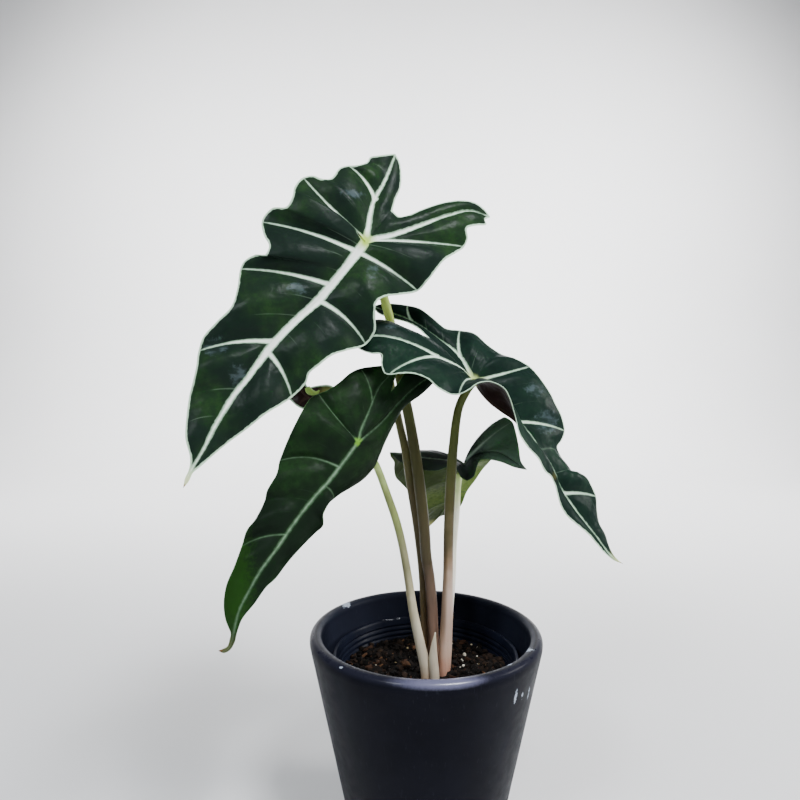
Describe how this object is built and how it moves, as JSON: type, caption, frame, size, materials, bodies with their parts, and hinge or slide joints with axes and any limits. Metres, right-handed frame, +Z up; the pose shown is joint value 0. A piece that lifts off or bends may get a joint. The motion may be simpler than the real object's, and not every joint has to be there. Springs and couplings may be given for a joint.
{
  "type": "potted african mask plant",
  "caption": "Potted african mask plant with dark arrow-shaped leaves and pale veins on tall stalks, in a nursery pot inside a round, thick-rimmed outer pot.",
  "frame": {"origin": "centre of the outer pot's flat bottom", "axes": "+Z up along the pot's axis, -Y towards the viewer, +X to the viewer's right"},
  "size_m": [0.2242, 0.1652, 0.3806],
  "materials": {
    "outer_pot": "satin dark navy plastic, lightly scuffed",
    "nursery_pot": "satin thin navy plastic",
    "potting_mix": "matte damp bark, coir and pumice crumbs",
    "crown": "matte fibrous rootstock",
    "sheath": "papery, dry",
    "top_blade": "waxy satin, dark green with pale veins",
    "top_stalk": "smooth, yellow-green to mauve-brown",
    "arching_blade": "waxy satin, dark green with pale veins",
    "arching_stalk": "smooth, olive to pinkish tan",
    "lower_blade": "waxy satin, dark green with grey-green veins",
    "lower_stalk": "smooth, pale greenish cream",
    "back_blade": "matte light green underside, dark green upper side",
    "back_stalk": "smooth, pale yellow-green",
    "upper_back_blade": "waxy satin, dark green with pale veins",
    "upper_back_stalk": "smooth, olive-brown"
  },
  "bodies": {
    "root": {"outer_pot": "outer_pot", "nursery_pot": "nursery_pot", "potting_mix": "potting_mix", "crown": "crown", "sheath": "sheath", "top_blade": "top_blade", "top_stalk": "top_stalk", "arching_blade": "arching_blade", "arching_stalk": "arching_stalk", "lower_blade": "lower_blade", "lower_stalk": "lower_stalk", "back_blade": "back_blade", "back_stalk": "back_stalk", "upper_back_blade": "upper_back_blade", "upper_back_stalk": "upper_back_stalk"}
  },
  "joints": []
}
